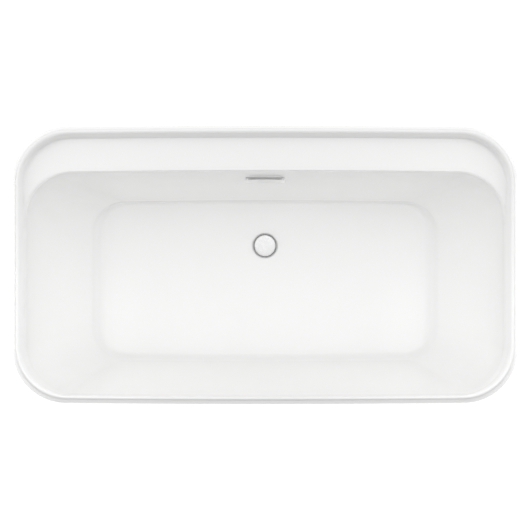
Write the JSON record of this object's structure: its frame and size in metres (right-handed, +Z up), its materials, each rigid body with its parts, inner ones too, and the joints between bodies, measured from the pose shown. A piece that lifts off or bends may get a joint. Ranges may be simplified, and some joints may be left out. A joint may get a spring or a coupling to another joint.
{
  "type": "freestanding bathtub",
  "caption": "Rectangular double-walled acrylic bathtub with rounded corners, a rolled rim, a flat back deck, sloping ends, a push-to-close drain and a slotted overflow, on levelling feet",
  "frame": {"origin": "on the floor, at the middle of the underside of the object's box", "axes": "+X along the length, +Y to the back, where the deck and the overflow are, +Z up"},
  "size_m": [1.676, 0.924, 0.584],
  "materials": {
    "basin_acrylic": "gloss",
    "shell_acrylic": "gloss",
    "board": "matte",
    "frame_steel": "satin",
    "zinc_steel": "satin",
    "pad_rubber": "matte",
    "seal_rubber": "matte",
    "chrome": "polished",
    "brass": "satin",
    "pipe_plastic": "satin",
    "nut_plastic": "satin"
  },
  "bodies": {
    "tub": {"basin": "basin_acrylic", "outer_shell": "shell_acrylic", "floor_board": "board", "rail_front": "frame_steel", "rail_back": "frame_steel", "cross_rail_1": "frame_steel", "cross_rail_2": "frame_steel", "cross_rail_3": "frame_steel", "cross_rail_4": "frame_steel", "foot_tab_1": "frame_steel", "foot_tab_2": "frame_steel", "foot_tab_3": "frame_steel", "foot_tab_4": "frame_steel", "foot_weld_nut_1": "zinc_steel", "foot_weld_nut_2": "zinc_steel", "foot_weld_nut_3": "zinc_steel", "foot_weld_nut_4": "zinc_steel", "foot_jam_nut_1": "zinc_steel", "foot_jam_nut_2": "zinc_steel", "foot_jam_nut_3": "zinc_steel", "foot_jam_nut_4": "zinc_steel", "shell_bracket_1": "frame_steel", "shell_bracket_2": "frame_steel", "shell_bracket_3": "frame_steel", "shell_bracket_4": "frame_steel", "shell_screw_1": "zinc_steel", "shell_screw_2": "zinc_steel", "shell_screw_3": "zinc_steel", "shell_screw_4": "zinc_steel", "drain_flange": "chrome", "drain_seal": "seal_rubber", "drain_gasket": "seal_rubber", "drain_shoe": "brass", "waste_pipe": "pipe_plastic", "waste_nut_front": "nut_plastic", "waste_nut_back": "nut_plastic", "waste_tee": "pipe_plastic", "outlet_stub": "pipe_plastic", "outlet_nut": "nut_plastic", "overflow_pipe": "pipe_plastic", "overflow_nut": "nut_plastic", "overflow_trim": "chrome", "overflow_retainer": "zinc_steel", "overflow_gasket": "seal_rubber", "overflow_body": "pipe_plastic", "overflow_screw_left": "zinc_steel", "overflow_screw_right": "zinc_steel"},
    "stopper": {"stopper_cap": "chrome", "stopper_seal": "seal_rubber", "stopper_stem": "brass"},
    "foot_1": {"foot_pad_1": "pad_rubber", "foot_stud_1": "zinc_steel"},
    "foot_2": {"foot_pad_2": "pad_rubber", "foot_stud_2": "zinc_steel"},
    "foot_3": {"foot_pad_3": "pad_rubber", "foot_stud_3": "zinc_steel"},
    "foot_4": {"foot_pad_4": "pad_rubber", "foot_stud_4": "zinc_steel"}
  },
  "joints": [
    {"name": "stopper_lift", "type": "slide", "parent": "tub", "child": "stopper", "axis": [0, 0, 1], "range_m": [0, 0.009]},
    {"name": "foot_1_height", "type": "slide", "parent": "tub", "child": "foot_1", "axis": [0, 0, 1], "range_m": [-0.015, 0.005]},
    {"name": "foot_2_height", "type": "slide", "parent": "tub", "child": "foot_2", "axis": [0, 0, 1], "range_m": [-0.015, 0.005]},
    {"name": "foot_3_height", "type": "slide", "parent": "tub", "child": "foot_3", "axis": [0, 0, 1], "range_m": [-0.015, 0.005]},
    {"name": "foot_4_height", "type": "slide", "parent": "tub", "child": "foot_4", "axis": [0, 0, 1], "range_m": [-0.015, 0.005]}
  ]
}
